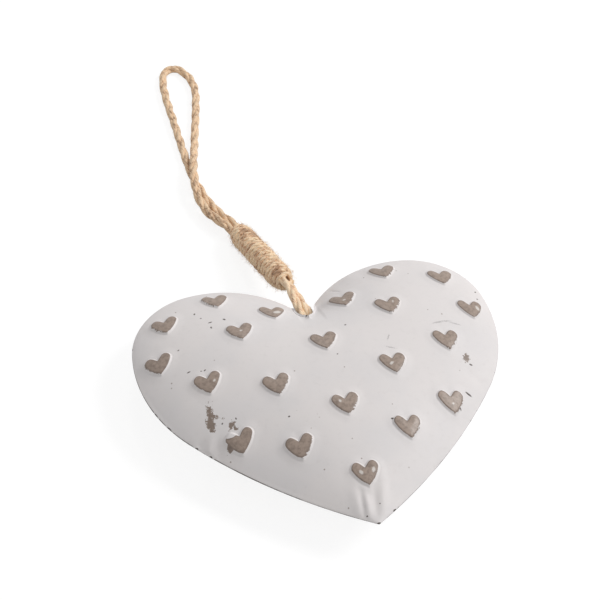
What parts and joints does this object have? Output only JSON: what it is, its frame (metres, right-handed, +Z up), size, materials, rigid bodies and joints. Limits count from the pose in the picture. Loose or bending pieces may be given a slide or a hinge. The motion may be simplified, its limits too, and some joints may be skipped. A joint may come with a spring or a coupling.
{
  "type": "hanging tin heart ornament",
  "caption": "Hollow puffed heart pressed from tin sheet, with small embossed hearts and a doubled jute hanging cord bound with twine.",
  "frame": {"origin": "on the surface that the heart lies on, under the middle of the heart's own box", "axes": "+Z up through the heart's depth, +Y from the tip to the cleft where the cord leaves, +X across the heart"},
  "size_m": [0.15, 0.2882, 0.0306],
  "materials": {
    "painted_tin": "aged off-white paint, taupe on the embossed hearts, satin",
    "solder": "dull soft solder",
    "jute_cord": "twisted natural jute",
    "jute_twine": "natural jute twine"
  },
  "bodies": {
    "heart": {"front_shell": "painted_tin", "back_shell": "painted_tin", "seam_solder": "solder", "stopper_knot": "jute_cord"},
    "neck": {"neck_legs": "jute_cord"},
    "hanger": {"bound_legs": "jute_cord", "whipping_twine": "jute_twine", "hanging_loop": "jute_cord"}
  },
  "joints": [
    {"name": "neck_swing", "type": "hinge", "parent": "heart", "child": "neck", "pos_m": [0, 0.0434, 0.01529], "axis": [1, 0, 0], "range_deg": [-90, 90]},
    {"name": "hanger_sway", "type": "hinge", "parent": "neck", "child": "hanger", "pos_m": [0, 0.0604, 0.01529], "axis": [0, 0, 1], "range_deg": [-65, 45]}
  ]
}
